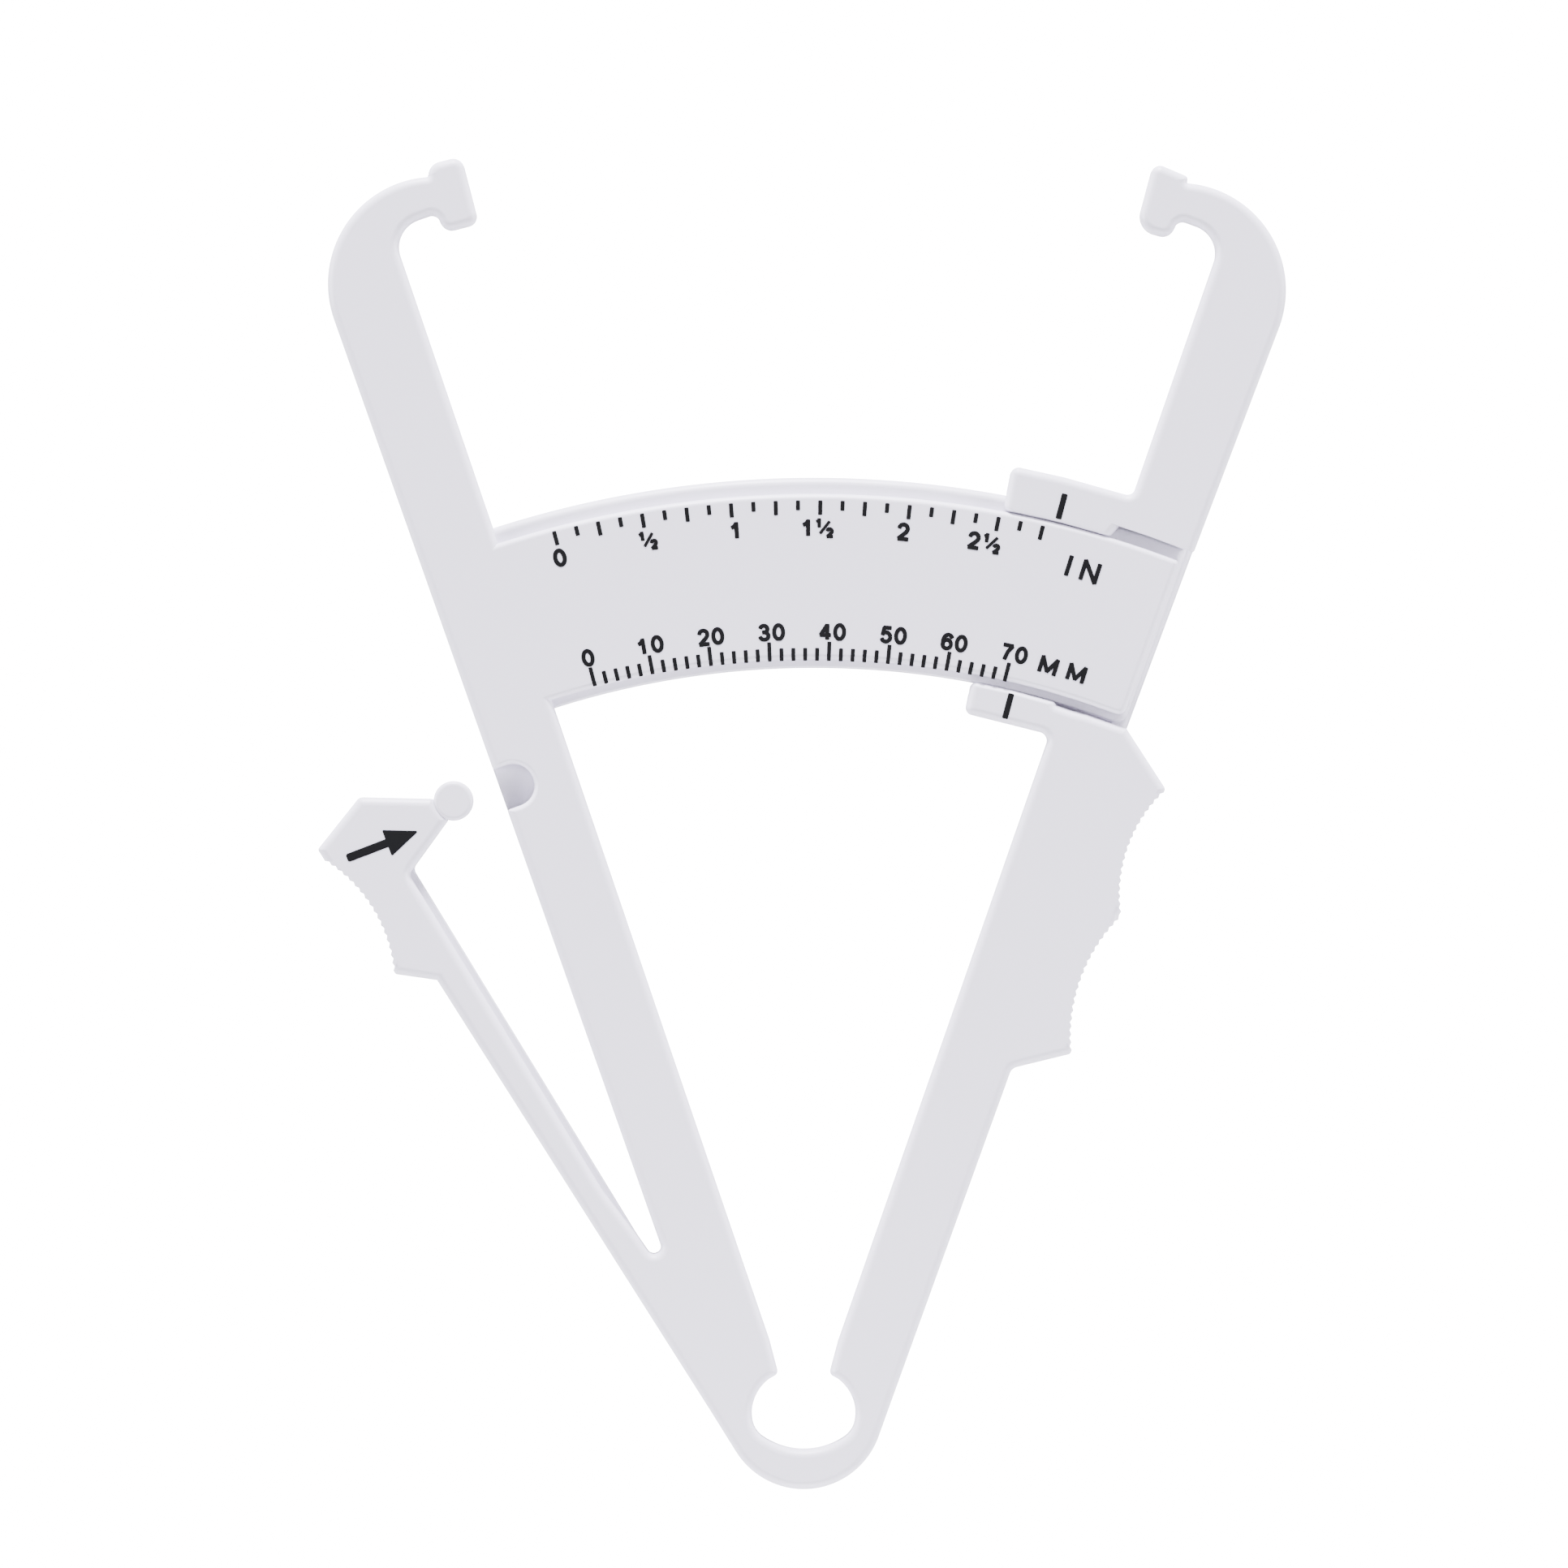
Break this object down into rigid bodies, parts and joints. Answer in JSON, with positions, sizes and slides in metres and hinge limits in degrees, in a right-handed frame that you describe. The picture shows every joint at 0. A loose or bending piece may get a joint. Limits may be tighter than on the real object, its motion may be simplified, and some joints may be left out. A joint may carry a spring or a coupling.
{
  "type": "skinfold caliper",
  "caption": "Moulded plastic skinfold caliper: hooked jaws on a sprung bow, a curved inch and millimetre scale, and a thumb lever with a click stud.",
  "frame": {"origin": "bending centre of the sprung bow, on the flat back face", "axes": "+X towards the index arm (the plain arm with the finger grip), +Y from the bow to the jaws, +Z out of the printed face"},
  "size_m": [0.1014, 0.1397, 0.0051],
  "materials": {
    "moulding": "satin white moulded plastic",
    "print": "near-black printing ink"
  },
  "bodies": {
    "scale_arm": {"left_bow": "moulding", "left_arm": "moulding", "left_jaw": "moulding", "left_jaw_pad": "moulding", "scale_blade": "moulding", "lever_root": "moulding"},
    "index_arm": {"right_bow": "moulding", "lower_right_arm": "moulding", "finger_grip": "moulding", "channel_plate": "moulding", "upper_right_arm": "moulding", "right_jaw": "moulding", "right_jaw_pad": "moulding", "upper_index_tab": "moulding", "lower_index_tab": "moulding", "upper_index_line": "print", "lower_index_line": "print"},
    "thumb_lever": {"lever_beam": "moulding", "thumb_pad": "moulding", "click_stud": "moulding", "thumb_arrow": "print"}
  },
  "joints": [
    {"name": "bow_hinge", "type": "hinge", "parent": "scale_arm", "child": "index_arm", "pos_m": [0, 0, 0.0025], "axis": [0, 0, 1], "range_deg": [0, 29.5], "stiffness_Nm_per_rad": 0.6},
    {"name": "lever_hinge", "type": "hinge", "parent": "scale_arm", "child": "thumb_lever", "pos_m": [-0.02341, 0.03117, 0.0025], "axis": [0, 0, -1], "range_deg": [0, 8.9], "stiffness_Nm_per_rad": 0.5}
  ]
}
